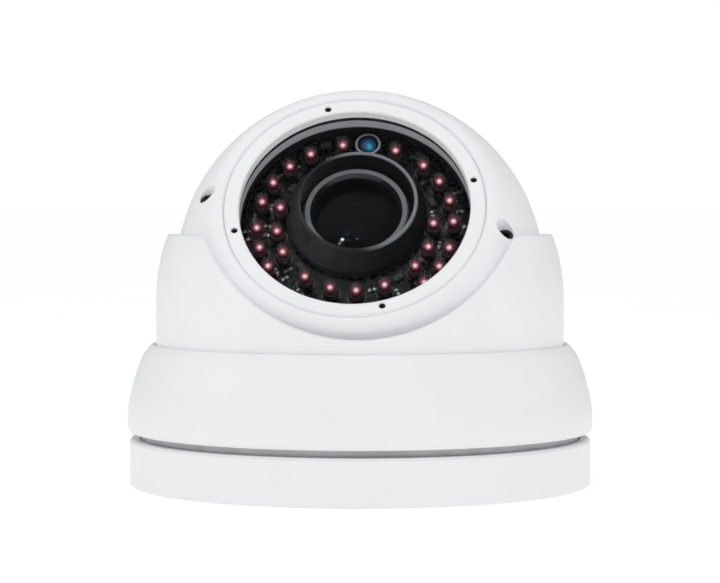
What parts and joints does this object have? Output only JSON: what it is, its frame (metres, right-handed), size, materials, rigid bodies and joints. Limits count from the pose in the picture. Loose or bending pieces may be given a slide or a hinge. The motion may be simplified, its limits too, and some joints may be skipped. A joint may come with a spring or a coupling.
{
  "type": "dome security camera",
  "caption": "Turret dome camera: round base, flared trim cover, rotating shroud and a tilting ball with an infrared ring around a varifocal lens",
  "frame": {"origin": "centre of the base plate's underside, which lies on the mounting surface", "axes": "+Z out of the mounting surface along the pan axis, -Y towards the side the lens looks to at rest, +Y towards the cable outlet"},
  "size_m": [0.1422, 0.2121, 0.1199],
  "materials": {
    "white_paint": "satin white powder coat",
    "white_plastic": "fine satin white",
    "cast_metal": "bare die casting",
    "black_plastic": "matt black",
    "grey_plastic": "matt dark grey",
    "nylon": "natural nylon",
    "black_rubber": "matt rubber",
    "window": "polished clear",
    "lens_glass": "coated optical glass",
    "emitter": "clear epoxy over a dark red die",
    "sensor_dome": "clear blue epoxy",
    "bright_metal": "bright plated",
    "satin_metal": "satin anodised",
    "black_steel": "black oxide",
    "zinc_steel": "zinc plated",
    "black_board": "black solder mask",
    "green_board": "green solder mask",
    "chip": "moulded package",
    "brass_metal": "turned brass",
    "ribbon": "amber film"
  },
  "bodies": {
    "base": {"base_plate": "white_paint", "base_gasket": "black_rubber", "chassis_ring": "cast_metal", "base_lock_screw": "black_steel", "pan_pad": "nylon", "pan_retainer": "black_plastic", "retainer_screws": "zinc_steel", "pan_stop": "zinc_steel", "trim_cover": "white_paint", "cover_seal": "black_rubber", "cover_screws": "zinc_steel", "cable_grommet": "black_rubber", "camera_cable": "black_rubber", "cable_splitter": "black_plastic", "connector_leads": "black_rubber", "video_connector": "bright_metal", "power_jack": "black_plastic", "junction_board": "green_board"},
    "turret": {"turret_shroud": "white_paint", "pan_ring": "black_plastic", "pan_ring_screws": "zinc_steel", "pan_peg": "zinc_steel", "pivot_bolts": "zinc_steel", "pivot_washers": "nylon"},
    "ball": {"rear_shell": "white_paint", "roll_seal": "black_rubber", "ball_gland": "black_rubber"},
    "front_module": {"front_shell": "white_paint", "lock_screws": "black_steel", "clamp_dogs": "zinc_steel", "bezel_ring": "white_paint", "bezel_screws": "black_steel", "window_glass": "window", "window_gasket": "black_rubber", "baffle_ring": "grey_plastic", "led_board": "black_board", "led_board_screws": "zinc_steel", "ir_leds": "emitter", "light_sensor": "sensor_dome", "sensor_holder": "bright_metal", "board_components": "chip", "lens_cowl": "black_rubber", "lens_barrel": "black_plastic", "camera_bracket": "satin_metal", "bracket_screws": "zinc_steel", "board_standoffs": "brass_metal", "sensor_board": "green_board", "image_sensor": "chip", "main_board": "green_board", "lens_mount": "black_plastic", "ribbon_cable": "ribbon"},
    "focus": {"focus_ring": "black_plastic", "focus_lock_screw": "zinc_steel"},
    "focus_group": {"front_cell": "satin_metal", "front_element": "lens_glass"},
    "zoom": {"zoom_ring": "black_plastic", "zoom_lock_screw": "zinc_steel"},
    "zoom_group": {"zoom_cell": "satin_metal", "zoom_element": "lens_glass"},
    "day_night": {"ir_cut_filter": "lens_glass"}
  },
  "joints": [
    {"name": "pan", "type": "hinge", "parent": "base", "child": "turret", "pos_m": [0, 0, 0.0148], "axis": [0, 0, 1], "range_deg": [-175, 175]},
    {"name": "tilt", "type": "hinge", "parent": "turret", "child": "ball", "pos_m": [0, 0, 0.0637], "axis": [-1, 0, 0], "range_deg": [-14.5, 55.5]},
    {"name": "roll", "type": "hinge", "parent": "ball", "child": "front_module", "pos_m": [0, 0, 0.0637], "axis": [-0.0352, -0.8234, 0.5664], "range_deg": [-170, 170]},
    {"name": "focus_turn", "type": "hinge", "parent": "front_module", "child": "focus", "pos_m": [-0.00001, 0.00293, 0.06796], "axis": [-0.0352, -0.8234, 0.5664], "range_deg": [-40, 50]},
    {"name": "focus_travel", "type": "slide", "parent": "front_module", "child": "focus_group", "axis": [-0.0352, -0.8234, 0.5664], "range_m": [-0.0009, 0.0011]},
    {"name": "zoom_turn", "type": "hinge", "parent": "front_module", "child": "zoom", "pos_m": [-0.00001, 0.00293, 0.06796], "axis": [-0.0352, -0.8234, 0.5664], "range_deg": [-30, 60]},
    {"name": "zoom_travel", "type": "slide", "parent": "front_module", "child": "zoom_group", "axis": [-0.0352, -0.8234, 0.5664], "range_m": [-0.0022, 0.0043]},
    {"name": "filter_shift", "type": "slide", "parent": "front_module", "child": "day_night", "axis": [0.986, -0.1211, -0.1147], "range_m": [0, 0.0068]}
  ],
  "couplings": [
    {"joint": "focus_travel", "follows": "focus_turn", "m_per_rad": 0.0012},
    {"joint": "zoom_travel", "follows": "zoom_turn", "m_per_rad": 0.004}
  ]
}
